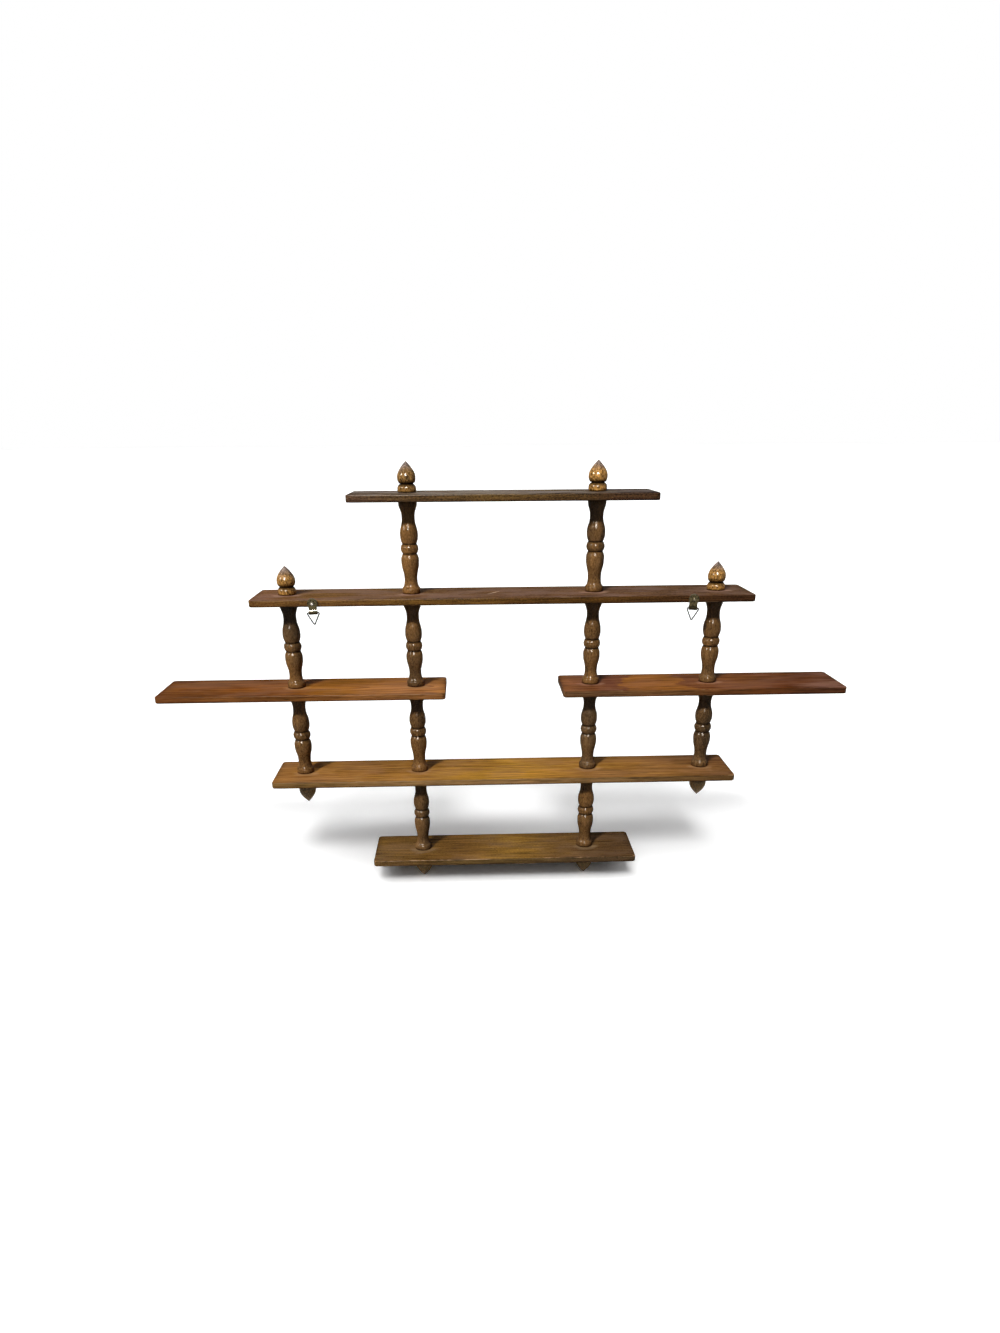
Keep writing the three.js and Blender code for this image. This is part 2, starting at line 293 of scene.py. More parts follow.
# A noise squeezed by a share on each axis: a small share draws it out into streaks that way
def noise(tree, squeeze, scale, detail=2.0, rough=0.5):
    drawn = mapped(tree, {"Scale": squeeze})
    inputs = {"Vector": drawn, "Scale": scale, "Detail": detail, "Roughness": rough}
    return addNode(tree, "TexNoise", inputs)["Fac"]


# A new material, with some inputs of its surface at fixed values
def newFinish(name, fixed):
    finish = bpy.data.materials.new(name)
    finish.use_nodes = True
    surface = finish.node_tree.nodes["Principled BSDF"]
    for key, value in fixed.items():
        surface.inputs[key].default_value = value
    return finish, finish.node_tree, surface


# Gives a surface its colour, its roughness and the relief of a height
def dressSurface(tree, surface, look, colour, rough, height):
    relief = {"Height": height, "Distance": look["reliefDeep"], "Strength": look["relief"]}
    bump = addNode(tree, "Bump", relief)[0]
    for key, value in (("Base Color", colour), ("Roughness", rough), ("Normal", bump)):
        tree.links.new(value, surface.inputs[key])


# The patterns of wood. For each: how far it is drawn out along the grain, across and through
# it, how many to a metre, its detail and its roughness
patterns = {
    "cloud": ((0.3, 1.0, 1.0), 16.0, 3.0, 0.55),
    # the pattern below lays a painted sheen, the reflection in the lacquer, on boards' tops and
    # finials' tips
    "paintedSheen": ((0.45, 1.0, 1.0), 30.0, 4.0, 0.62),
    "streak": ((0.06, 1.0, 1.0), 250.0, 4.0, 0.72),
    "fibre": ((0.03, 1.0, 1.0), 900.0, 3.0, 0.6),
    "pore": ((0.06, 1.0, 1.0), 1500.0, 1.0, 0.5),
    "fleck": ((0.6, 1.0, 1.0), 480.0, 2.0, 0.6),
    "speck": ((0.5, 1.0, 1.0), 900.0, 1.0, 0.5),
    "tatter": ((0.6, 1.0, 1.0), 34.0, 5.0, 0.65),
    "rub": ((0.16, 1.0, 0.6), 150.0, 4.0, 0.7),
    "pit": ((0.8, 1.0, 1.0), 480.0, 2.0, 0.6),
    "wobble": ((0.5, 1.0, 1.0), 90.0, 4.0, 0.6),
}
wood = {
    "lacquer": {
        "Specular IOR Level": 0.0,  # the stained wood itself is matt: the shine is the lacquer's
        "Coat IOR": 1.5,
    },
    "poreBand": (0.58, 0.68),  # the noise at which a pore begins and is full
    "fibreHigh": 0.5,  # as a share of a pore's depth
    "levelBand": (0.5, 0.9),  # how much of its normal points up where a face begins to be level
}


# One of the patterns, made once in each finish, and turned with the grain
def pattern(tree, look, label):
    if label not in tree.nodes:
        shares, *rest = patterns[label]
        squeeze = np.roll(shares, "XYZ".index(look["along"]))
        noise(tree, squeeze, *rest).node.name = label
    return tree.nodes[label].outputs["Fac"]


# A value made uneven by a pattern n: value + show x (2 n - 1)
def sway(tree, look, value, label, show):
    uneven = calc(tree, "MULTIPLY_ADD", pattern(tree, look, label), 2 * show, -show)
    return calc(tree, "ADD", value, uneven)


# A layer of one of a look's stains, in the blotches of the pattern that it is named for
def blotch(tree, look, colour, label, *shares):
    spots = fade(tree, pattern(tree, look, label), *look[f"{label}Band"], look[f"{label}Show"])
    return layer(tree, colour, look[label], spots, *shares)


# Stained wood under lacquer: its stain times a shade, which is 1 + the sum of
# show x (2 n - 1) over the noises n of its patterns, less its pores
def woodFinish(name, look, stainOf, wearOf):
    finish, tree, surface = newFinish(name, {**wood["lacquer"], **look["shine"]})
    shade = 1.0
    for label, show in look["shows"].items():
        shade = sway(tree, look, shade, label, show)
    pores = fade(tree, pattern(tree, look, "pore"), *wood["poreBand"])
    shade = calc(tree, "MULTIPLY_ADD", pores, -look["poreShow"], shade)
    inputs = {0: stainOf(tree, look), "Scale": calc(tree, "MAXIMUM", shade, look["darkest"])}
    shaded = addNode(tree, "VectorMath", inputs, operation="SCALE")[0]
    fibre = pattern(tree, look, "fibre")
    rough = stretch(tree, fibre, look["gloss"], look["gloss"] + look["glossVaries"])
    height = calc(tree, "SUBTRACT", calc(tree, "MULTIPLY", fibre, wood["fibreHigh"]), pores)
    dressSurface(tree, surface, look, wearOf(tree, look, shaded), rough, height)
    return finish


# Colours in turn along a value, each at its own place on it
def tonesAlong(tree, value, tones):
    colour = addNode(tree, "ValToRGB", {0: value})["Color"]
    colour.node.color_ramp.interpolation = "EASE"
    stops = colour.node.color_ramp.elements
    while len(stops) < len(tones):
        stops.new(0.5)
    for stop, (at, code) in zip(stops, tones.items()):
        stop.position, stop.color = at, dye(code)
    return colour


# How far a face looks up, from 0 on an upright one to 1 on a level one; or down as well
def levelness(tree, eitherWay=False):
    up = addNode(tree, "SeparateXYZ", {0: addNode(tree, "NewGeometry")["Normal"]})["Z"]
    return fade(tree, calc(tree, "ABSOLUTE", up) if eitherWay else up, *wood["levelBand"])


# The stain of a board: tones in turn along its length, that wander into each other with the
# clouds, a patch, growth rings, and other tones on its upright edges
def boardStain(tree, look):
    x = addNode(tree, "SeparateXYZ", {0: placeOn(tree)})["X"]
    low, high = look["span"]
    along = calc(tree, "MULTIPLY_ADD", x, 1 / (high - low), -low / (high - low))
    along = sway(tree, look, along, "cloud", look["wander"])
    colour = tonesAlong(tree, along, look["tones"])
    if "patch" in look:
        colour = stainPatch(tree, look, colour)
    colour = growthRings(tree, look, colour)
    return mixed(tree, levelness(tree, True), tonesAlong(tree, along, look["edgeTones"]), colour)


# The cathedral figure of a board sawn flat: rings of equal distance sqrt((k x)^2 + y^2) from
# the figure's middle, drawn out k times along the board and bent by noise
def growthRings(tree, look, colour):
    (middleX, middleY), drawOut = look["figure"], look["figureDraw"]
    shift = (-middleX * drawOut, -middleY, 0.0)
    drawn = mapped(tree, {"Location": shift, "Scale": (drawOut, 1.0, 1.0)})
    often = 2 * math.pi / (20 * look["ringGap"])  # a wave node has 20 rad a unit
    inputs = {"Vector": drawn, "Scale": often, **look["ringWander"]}
    kind = {"wave_type": "RINGS", "rings_direction": "Z", "wave_profile": "SAW"}
    rings = addNode(tree, "TexWave", inputs, **kind)["Fac"]
    late = calc(tree, "POWER", rings, look["ringSharp"])
    return layer(tree, colour, look["late"], late, look["ringShow"])


# A cloud of another stain within an oval that may be turned: sqrt((x / u)^2 + (y / v)^2) from
# its middle, broken by noise, is under 1 in it
def stainPatch(tree, look, colour):
    patch = look["patch"]
    inputs = {
        "Location": (*patch["middle"], 0.0),
        "Rotation": (0.0, 0.0, math.radians(patch["turn"])),
        "Scale": (*patch["half"], look["patchHigh"]),
    }
    shares = mapped(tree, inputs, "TEXTURE")
    away = addNode(tree, "VectorMath", {0: shares}, operation="LENGTH")["Value"]
    rim = sway(tree, look, away, "tatter", patch["ragged"])
    share = fade(tree, rim, 1 + patch["soft"], 1 - patch["soft"], patch["show"])
    return layer(tree, colour, patch["stain"], share)


# What a board's faces carry: a painted sheen in blotches on its top, standing in for the
# reflection in its lacquer, rings about the feet, dark stain and painted shade along its rims,
# dark stain along its arrises and painted shade under its lower ones, pale wood where an arris is
# rubbed bare, and dark pits
def boardWear(tree, look, colour):
    upward = levelness(tree)
    # a painted sheen on the top faces, standing in for the reflection in the lacquer
    colour = ringFeet(tree, look, blotch(tree, look, colour, "paintedSheen", upward), upward)
    dark = 0.0
    # painted shade with dark stain along the rims, stain along the arrises, painted shade under
    # the lower arrises
    for label in ("rim", "arris", "shadedUnderArris"):
        stained = calc(tree, "MULTIPLY", mark(tree, label), look[f"{label}Dark"])
        dark = calc(tree, "MAXIMUM", dark, stained)
    colour = layer(tree, colour, look["dark"], dark)
    for label, edge in (("rub", "arris"), ("pit", "rim")):
        near = fade(tree, mark(tree, edge), *look[f"{label}Near"])
        colour = blotch(tree, look, colour, label, near)
    return colour


# Round every foot a dark line where it meets the board, and a pale halo in front of it on the top:
# sqrt((|x| - column)^2 + (y - middle)^2) is how far a point lies from the nearest axis
def ringFeet(tree, look, colour, upward):
    place = addNode(tree, "SeparateXYZ", {0: placeOn(tree)})
    across = calc(tree, "ABSOLUTE", place["X"])
    depth = calc(tree, "SUBTRACT", place["Y"], columns["y"])
    reaches = []
    for column in (columns["inner"], columns["outer"]):
        side = calc(tree, "SUBTRACT", across, column)
        square = calc(tree, "ADD", calc(tree, "POWER", side, 2.0), calc(tree, "POWER", depth, 2.0))
        reaches.append(calc(tree, "SQRT", square))
    reach = calc(tree, "MINIMUM", *reaches)
    wavy = sway(tree, look, reach, "wobble", look["haloWavy"])
    halo = fade(tree, wavy, *look["haloBand"], look["haloShow"])
    front = fade(tree, depth, 0.0, look["haloFront"])
    colour = layer(tree, colour, look["halo"], halo, front, upward)
    footLine = fade(tree, reach, *look["footLineBand"], look["footLineShow"])
    return layer(tree, colour, look["dark"], footLine, upward)


# Where the spindles stand, from the frame
def findColumns():
    inner = sum(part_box("base_inner_spindle_right"), Vector()) / 2
    outer = sum(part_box("lower_outer_spindle_right"), Vector()) / 2
    return {"inner": inner.x, "outer": outer.x, "y": inner.y}


columns = findColumns()

# What all boards share. Lengths are in metres, and a band is where a noise or a distance
# begins to show and where it shows in full.
board = {
    "along": "X",
    "shows": {"cloud": 0.6, "streak": 1.4, "fibre": 1.2},
    "specks": {},  # finer patterns, which only some boards show
    "poreShow": 0.25, "darkest": 0.25,
    "wander": 0.35,  # how far tones wander, as a share of the board's length
    "figureDraw": 0.085,
    "ringGap": 0.0065,  # between two growth rings
    "ringWander": {"Distortion": 3.0, "Detail": 2.0, "Detail Scale": 0.3},
    "ringSharp": 3.0, "ringShow": 0.3,
    "patchHigh": 1.0,  # a patch goes right through its board
    # where the painted sheen on a top begins and where it is full
    "paintedSheenBand": (0.40, 0.62),
    "gloss": 0.36, "glossVaries": 0.2, "relief": 0.5, "reliefDeep": 0.00012,
    "shine": {"Coat Weight": 0.025, "Coat Roughness": 0.2},
    # painted shade and dark stain along the rims, the far rim darker than the near one; a little
    # dark stain along the arrises; painted shade under the lower arrises
    "rimDark": 0.8, "arrisDark": 0.3, "shadedUnderArrisDark": 0.95, "rimWide": 0.0026,
    "rimNear": 0.22,  # the share of the far rim's darkness that the near rim has
    "rub": "b08c68", "rubShow": 0.5, "rubBand": (0.55, 0.65), "rubNear": (0.5, 0.9),
    "pit": "120c08", "pitShow": 0.4, "pitBand": (0.53, 0.63), "pitNear": (0.15, 0.6),
    "haloShow": 0.6, "haloWavy": 0.012, "haloBand": (0.0200, 0.0100),
    "haloFront": -0.007,  # from the columns towards the wall edge
    "footLineShow": 0.75, "footLineBand": (0.0112, 0.0096),
    "cornerRadius": 0.0045, "arris": 0.0010, "arrisVaries": 0.45,
    "arrisReach": 1.4,  # how far an arris is marked, in its own radii
    "waves": (3, 7, 12, 19, 31),  # to the whole way round the plan
    "wallInset": 1.5,  # from the faces to the wall's first row, in radii of the arris
    "planSteps": (260, 36, 8),  # along a long side, a short side and a corner
    "rowSteps": (10, 4, 7, 4),  # over the top, its rim, the arris and the wall
    "topDraw": 1.7,  # how much closer the rows lie towards the rim
    "sharpAngle": 50,
    "holeRadius": 0.00425, "holeSteps": 48, "overrun": 0.001,
}

# The boards. The pale greys that each lays in blotches on its top are a painted sheen, standing in
# for the reflection in its lacquer.
boards = {
    "top_shelf": {
        "slot": "top_wood", "specks": {"fleck": 0.7, "speck": 1.3},
        "tones": {0.0: "564436", 0.3: "6a5844", 0.6: "5e4c38", 1.0: "40302a"},
        "edgeTones": {0.0: "523e30", 0.4: "634c2a", 1.0: "46301f"},
        "late": "3a281a", "dark": "20150e", "paintedSheen": "9a9086", "halo": "a89880",
        "paintedSheenShow": 0.5, "haloShow": 0.3, "rubShow": 0.1, "pitShow": 0.85, "figure": (0.05, 0.03),
        "shine": {"Coat Weight": 0.06, "Coat Roughness": 0.2},
    },
    "upper_shelf": {
        "slot": "top_wood", "specks": {"speck": 0.9},
        "tones": {0.0: "845c40", 0.2: "70502a", 0.5: "725238", 1.0: "5c422c"},
        "edgeTones": {0.0: "6c4d2a", 0.35: "6e4f25", 0.6: "523818", 1.0: "3e2818"},
        "patch": {
            "middle": (-0.0103, 0.0354), "half": (0.0115, 0.0010), "turn": 55,  # degrees
            "ragged": 0.8, "soft": 0.4, "show": 0.9, "stain": "dcba98",
        },
        "late": "46300f", "dark": "2a1a10", "paintedSheen": "8c7064", "halo": "b08c78",
        "paintedSheenShow": 0.45, "rubShow": 0.3, "pitShow": 0.5, "figure": (-0.08, 0.055),
    },
    "left_middle_shelf": {
        "slot": "red_wood",
        "tones": {0.0: "6c442c", 0.2: "6e421a", 0.42: "88521f", 0.65: "94601f", 1.0: "a87038"},
        "edgeTones": {0.0: "684022", 0.5: "7c5028", 1.0: "825832"},
        "patch": {
            "middle": (-0.3115, 0.031), "half": (0.014, 0.010), "turn": 0,
            "ragged": 0.5, "soft": 0.35, "show": 0.5, "stain": "7a4412",
        },
        "late": "50290f", "dark": "301c0c", "paintedSheen": "98705a", "halo": "b4885e",
        "paintedSheenShow": 0.28, "rubShow": 0.1, "ringShow": 0.6, "figure": (-0.3115, 0.031),
    },
    "right_middle_shelf": {
        "slot": "red_wood",
        "tones": {0.0: "8a5832", 0.22: "70442e", 0.6: "7c4c26", 0.8: "623410", 1.0: "7c5848"},
        "edgeTones": {0.0: "6c4e34", 0.3: "725030", 0.7: "563218", 1.0: "462a1a"},
        "patch": {
            "middle": (0.178, 0.04), "half": (0.038, 0.3), "turn": 0,
            "ragged": 1.3, "soft": 0.14, "show": 0.85, "stain": "9c6428",
        },
        "late": "46240f", "dark": "2a170c", "paintedSheen": "886050", "halo": "b4866a",
        "paintedSheenShow": 0.3, "rubShow": 0.6, "figure": (0.30, 0.050),
    },
    "lower_shelf": {
        "slot": "golden_wood",
        "tones": {0.0: "986a3a", 0.28: "9e7030", 0.48: "b4842c", 0.7: "9c6e34", 1.0: "704c2e"},
        "edgeTones": {0.0: "765a34", 0.45: "8a6c46", 1.0: "60472a"},
        "late": "6c4a1c", "dark": "38260f", "paintedSheen": "a47a54", "halo": "b88e66",
        "paintedSheenShow": 0.3, "rubShow": 0.75, "figure": (0.02, 0.040),
    },
    "bottom_shelf": {
        "slot": "olive_wood", "specks": {"speck": 0.9},
        "tones": {0.0: "76582a", 0.3: "785628", 0.52: "906c2e", 0.75: "70532c", 1.0: "523c24"},
        "edgeTones": {0.0: "6c5230", 0.4: "584628", 1.0: "4c3c2a"},
        "late": "3e2a0e", "dark": "241708", "paintedSheen": "7c6450", "halo": "9a8468",
        "paintedSheenShow": 0.32, "haloShow": 0.45, "rubShow": 0.9, "rubBand": (0.49, 0.59),
        "figure": (0.0, 0.050),
    },
}


# The way round a rectangle with round corners. With half sizes h and corner radius R, drawn
# in by d, a point is s (h - max(R, d)) + max(R - d, 0) n: s runs from corner to corner, and n
# points out.
def roundRectangle(longSteps, shortSteps, cornerSteps):
    arc = np.linspace(0, np.pi / 2, cornerSteps, endpoint=False)
    quarters = []
    for quarter, steps in enumerate((longSteps, shortSteps) * 2):
        side = np.linspace(-1, 1, steps, endpoint=False)
        x, y = np.append(side, 1 + 0 * arc), np.full(steps + cornerSteps, -1.0)
        for _ in range(quarter):
            x, y = -y, x
        angle = np.append(0 * side, arc) + (quarter - 1) * np.pi / 2
        quarters.append((x, y, angle))
    alongX, alongY, angle = (np.concatenate(part) for part in zip(*quarters))
    return alongX, alongY, np.cos(angle), np.sin(angle)


# Slow random waves round the plan, from 0 to 1: a sum of sines of whole orders
def slowWaves(count, random):
    turn = np.linspace(0, 2 * np.pi, count, endpoint=False)
    orders = board["waves"]
    waves = sum(np.sin(order * turn + random.uniform(0, 2 * np.pi)) for order in orders)
    return 0.5 + 0.5 * waves / len(orders)


# A board skin: the plan drawn in by d(v) at the height z(v). Round the arris d is
# a (1 - sin v) and z falls by a (1 - cos v), where the radius a wanders along the edge. From
# the corners' radius inwards no row wanders, so that the corners' columns meet.
def boardSkin(name, finish, random):
    s = board
    low, high = (np.array(corner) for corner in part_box(name))
    centre, half = (low + high) / 2, (high - low) / 2
    alongX, alongY, outX, outY = roundRectangle(*s["planSteps"])
    worn = s["arris"] * (1 + s["arrisVaries"] * slowWaves(len(alongX), random))
    corner = s["cornerRadius"]
    topSteps, rimSteps, bowSteps, wallSteps = s["rowSteps"]
    flat = np.linspace(1, 0, topSteps)[:-1, None] ** s["topDraw"]
    rimward = np.linspace(1, 0, rimSteps)[:, None]
    bow = np.linspace(0, np.pi / 2, bowSteps)[:, None]
    wall = np.linspace(1, -1, wallSteps)[1:-1, None]
    inner = corner + (half[1] - corner) * flat + 0 * worn
    topInset = np.vstack((inner, worn + (corner - worn) * rimward))
    bowInset = worn * (1 - np.sin(bow))
    bowDrop = worn * (1 - np.cos(bow))
    wallHigh = half[2] - s["arris"] * s["wallInset"]
    inset = np.vstack((topInset, bowInset[1:], 0 * wall * worn, bowInset[::-1], topInset[-2::-1]))
    drop = np.vstack((0 * topInset, bowDrop[1:]))
    level = np.vstack((half[2] - drop, wallHigh * wall + 0 * worn, drop[::-1] - half[2]))
    reach = np.maximum(corner, inset)
    bulge = np.maximum(corner - inset, 0)
    x = centre[0] + alongX * (half[0] - reach) + outX * bulge
    y = centre[1] + alongY * (half[1] - reach) + outY * bulge
    fromArris = np.hypot(inset, half[2] - np.abs(level))
    arris = np.exp(-((fromArris / (s["arrisReach"] * s["arris"])) ** 2))
    nearness = np.clip((centre[1] - y) / half[1], 0, 1)
    rim = np.exp(-fromArris / s["rimWide"]) * (1 - (1 - s["rimNear"]) * nearness)
    grid = np.stack((x, y, centre[2] + level), axis=-1)
    # marks for the painted shade and stain along the rims and arrises
    marks = {"arris": arris, "shadedUnderArris": arris * (level < 0), "rim": rim}
    piece = makeSkin(f"{name}_board", grid, finish, s["sharpAngle"], **marks)
    bores = [
        boreAt(side * columns[column], low[2], high[2])
        for column in ("inner", "outer")
        for side in (-1, 1)
        if low[0] < side * columns[column] < high[0]
    ]
    cutAway(piece, bores, s["sharpAngle"])
    standFor(piece, name)


# A cutter for the hole that a tenon passes through
def boreAt(x, low, high):
    outline = rod(board["holeRadius"], low - board["overrun"], high + board["overrun"])
    return makeSkin("bore", turned(outline, (x, columns["y"], 0), board["holeSteps"]))


random = np.random.default_rng(11)
for name, look in boards.items():
    low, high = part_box(name)
    look = {**board, **look, "span": (low.x, high.x)}
    look["shows"] = look["shows"] | look["specks"]
    finish = woodFinish(f"{look['slot']}_{name}", look, boardStain, boardWear)
    boardSkin(name, finish, random)
print("boards made")


# The stain of a turned piece: from grey brown to warm brown as its warmth goes from 0 to 1, and
# on a finial, as it rises, a painted sheen towards the grey of its tip, standing in for the
# reflection there
def turnedStain(tree, look):
    warmth = sway(tree, look, mark(tree, "warmth"), "cloud", look["wander"])
    colour = layer(tree, dye(look["grey"]), look["warm"], fade(tree, warmth, 0.0, 1.0))
    if "tip" not in look:
        return colour
    high = sway(tree, look, mark(tree, "rise"), "paintedSheen", look["tipSheenWander"])
    return layer(tree, colour, look["tip"], fade(tree, high, *look["tipSheenBand"], look["tipSheenShow"]))


# The dark bands of a turned piece: painted shade with pooled stain in its grooves, painted shade
# at its top under the shelf and where its foot meets a shelf, and a darker band at its neck
def turnedWear(tree, look, colour):
    return layer(tree, colour, look["dark"], mark(tree, "stainAndShade"), look["hollowDark"])


# What spindles and finials share. Lengths are in metres: a rise is a height above the foot and
# a brow is how high a curve's middle point stands.
turnedWork = {
    "along": "Z",
    "poreShow": 0.2, "glossVaries": 0.2, "relief": 0.2, "reliefDeep": 0.00012,
    "tenonRadius": 0.004, "tenonLength": 0.0172, "tenonChamfer": 0.0008,
    "socketRadius": 0.00425, "socketDepth": 0.0102,
    "footRadius": 0.0088, "collarRadius": 0.0102,
    # painted shade where a foot meets its shelf
    "footContactShade": 0.8, "footContactShadeDeep": 0.0013,
    "steps": 72, "sharpAngle": 35,
}
spindle = {
    **turnedWork,
    "slot": "spindle_wood",
    "grey": "4e3f2d", "warm": "7b5a34", "dark": "160d06",
    "wander": 0.9,
    "shows": {"cloud": 0.9, "streak": 0.6, "fleck": 0.5, "speck": 0.8},
    "darkest": 0.3, "gloss": 0.3,
    "shine": {"Coat Weight": 0.06, "Coat Roughness": 0.14},
    "collarRise": 0.0036, "neckRadius": 0.0073, "swellRadius": 0.0101,
    "grooveRadius": 0.0080, "grooveFromBead": 0.0052,
    "beadRadius": 0.0100, "beadBrow": 0.0027, "beadBelowMiddle": 0.0009,
    # painted shade: with pooled stain in the grooves, at the top under the shelf above, and a
    # darker band at the neck
    "hollowDark": 0.9, "hollowWide": 0.0010,
    "underShelfShade": 0.5, "underShelfShadeDeep": 0.016,
    "neckDark": 0.3, "neckAt": 0.0175, "neckDeep": 0.0055,
    "footBead": {"radius": 0.0091, "rise": 0.0067, "brow": 0.0060},
    "footCove": (0.0077, 0.0083),
    "lower": {"neckRise": 0.0145, "swellFromBead": 0.0124, "steps": (8, 12, 16, 20, 20, 20)},
    "upper": {
        "brow": 0.008, "cove": 0.010, "neckRise": 0.0175, "swellFromBead": 0.0138,
        "steps": (8, 24, 20, 20, 20),
    },
}

# What the turner's hand and the stain made of the left and the right piece of each kind: how
# far its bead stands above the usual height, how stout it is and how warm its foot and its top
turnings = {
    "crown_inner_spindle": ((-0.0002, 0.985, 0.9, 0.95), (0.0006, 1.025, 0.65, 0.25)),
    "upper_inner_spindle": ((-0.0015, 0.965, 0.55, 0.4), (-0.0011, 0.97, 0.75, 0.65)),
    "upper_outer_spindle": ((-0.0007, 1.01, 0.75, -0.1), (-0.0005, 1.02, 0.5, 0.6)),
    "lower_inner_spindle": ((0.0016, 0.985, 0.85, 0.5), (0.0012, 0.98, 0.25, 0.0)),
    "lower_outer_spindle": ((-0.0007, 1.02, 0.9, 0.75), (0.0013, 1.02, 0.4, 0.5)),
    "base_inner_spindle": ((0.0012, 0.965, 0.15, 0.65), (0.0010, 1.0, 0.6, 1.0)),
    "top_finial": ((0.0, 0.98, 0.6, 0.55), (0.0, 1.02, 0.95, 0.85)),
    "shoulder_finial": ((0.0, 1.02, 1.4, 1.3), (0.0, 0.99, 1.1, 0.9)),
}
usual = (0.0, 1.0, 0.0, 0.0)


# What that table tells of one turned piece: the usual, where its kind isn't in it
def turningOf(name):
    kind, _, side = name.rpartition("_")
    return turnings.get(kind, (usual, usual))[side == "right"]


# The tenon under a foot, from its end on the axis up to the shoulder
def tenonOutline():
    keys = ("tenonRadius", "tenonLength", "tenonChamfer")
    radius, length, chamfer = (turnedWork[key] for key in keys)
    end = (0, -length), (radius - chamfer, -length)
    return np.array([*end, (radius, chamfer - length), (radius, 0)])


# From the collar to the neck: at the foot a tight round, then a cove, and at the top an ogee
def collarToNeck(half, collar, neck):
    if "brow" in half:
        return [ogee(collar, neck, half["brow"], half["cove"])]
    bead = spindle["footBead"]
    end = (bead["radius"], bead["rise"])
    return [(collar, (collar[0], bead["brow"]), end), (end, spindle["footCove"], neck)]


# Half a spindle from an end to the middle of its bead: collar, neck, swell, groove and bead
def spindleHalf(half, beadRise, stout):
    s = spindle
    widths = (s[f"{key}Radius"] * stout for key in ("neck", "swell", "groove", "bead"))
    neckWide, swellWide, grooveWide, beadWide = widths
    swell, groove = beadRise - half["swellFromBead"], beadRise - s["grooveFromBead"]
    foot, collar = (s["footRadius"], 0), (s["collarRadius"], s["collarRise"])
    neck, swollen, narrow = (neckWide, half["neckRise"]), (swellWide, swell), (grooveWide, groove)
    middle = (half["neckRise"] + swell) / 2
    curves = [
        (foot, (s["collarRadius"], 0), collar),
        *collarToNeck(half, collar, neck),
        ogee(neck, swollen, middle, middle),
        (swollen, (swellWide, (swell + groove) / 2), narrow),
        (narrow, (beadWide, beadRise - s["beadBrow"]), (beadWide, beadRise)),
    ]
    return chain(curves, half["steps"])


# How dark a height is painted, by shade and by stain: the sum of s exp(-(d / w)^2) over the dark
# bands, where d is how far away a band's middle is, s its show and w its width
def stainAndShadeAt(height, *darkBands):
    return sum(show * np.exp(-(((height - at) / wide) ** 2)) for at, show, wide in darkBands)


# How warm a turned piece is at a height: foot + (top - foot) h / length
def warmthAt(height, length, foot, top):
    return foot + (top - foot) * np.clip(height / length, 0, 1)


# A spindle's outline: its lower half, its upper half counted down from the top, the socket
def spindleOutline(length, beadRise, stout):
    lower = spindleHalf(spindle["lower"], beadRise, stout)
    upper = spindleHalf(spindle["upper"], length - beadRise, stout)[-2::-1] * (1, -1) + (0, length)
    radius, floor = spindle["socketRadius"], length - spindle["socketDepth"]
    socket = np.array([(radius, length), (radius, floor), (0, floor)])
    return np.vstack((tenonOutline(), lower, upper, socket))


# A turned piece on its axis, marked with its painted shade and stain, its warmth and, on a finial,
# its rise
def turnPiece(name, outline, foot, finish, look, **marks):
    low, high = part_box(name)
    skin = turned(outline, ((low.x + high.x) / 2, columns["y"], foot), look["steps"])
    piece = makeSkin(f"{name}_turned", skin, finish, look["sharpAngle"], **marks)
    standFor(piece, name)


# A spindle between two shelves, with its bead a little below its middle
def makeSpindle(name, finish):
    s = spindle
    low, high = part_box(name)
    foot = low.z + s["tenonLength"]
    length = high.z - foot
    beadShift, stout, *ends = turningOf(name)
    beadRise = length / 2 - s["beadBelowMiddle"] + beadShift
    outline = spindleOutline(length, beadRise, stout)
    height = outline[:, 1:]
    # painted shade and stain: the grooves, the top under the shelf, the foot and the neck
    stainAndShade = stainAndShadeAt(
        height,
        (beadRise - s["grooveFromBead"], 1.0, s["hollowWide"]),
        (beadRise + s["grooveFromBead"], 1.0, s["hollowWide"]),
        (length, s["underShelfShade"], s["underShelfShadeDeep"]),
        (0.0, s["footContactShade"], s["footContactShadeDeep"]),
        (s["neckAt"], s["neckDark"], s["neckDeep"]),
    )
    marks = {"stainAndShade": stainAndShade, "warmth": warmthAt(height, length, *ends)}
    turnPiece(name, outline, foot, finish, s, **marks)


spindleFinish = woodFinish("turned_wood", spindle, turnedStain, turnedWear)
for name in [name for name in nodes if "_spindle_" in name]:
    makeSpindle(name, spindleFinish)
print("spindles made")

finial = {
    **turnedWork,
    "slot": "finial_wood",
    "grey": "5e4c30", "warm": "a57c42", "dark": "1a1008",
    # the tip's grey is a painted sheen, standing in for the reflection on the finial's upper part
    "tip": "7c7270", "tipSheenShow": 0.9, "tipSheenWander": 0.3,
    "tipSheenBand": (0.58, 0.92),  # as shares of its height
    "wander": 0.7,
    "shows": {"cloud": 0.5, "streak": 0.3, "fleck": 1.3, "speck": 1.6},
    "darkest": 0.25, "gloss": 0.28,
    "shine": {"Coat Weight": 0.16, "Coat Roughness": 0.14},
    # painted shade with pooled stain in the groove
    "hollowDark": 1.0, "hollowWide": 0.0030,
    "collarRise": 0.0034,
    "shoulderRadius": 0.0102, "shoulderRise": 0.0072,
    "grooveRadius": 0.0067, "grooveRise": 0.0088,
    "acornRadius": 0.0102, "acornRise": 0.0153, "acornShoulder": 0.0215,
    "height": 0.0314, "curveSteps": (8, 12, 16, 28),
}
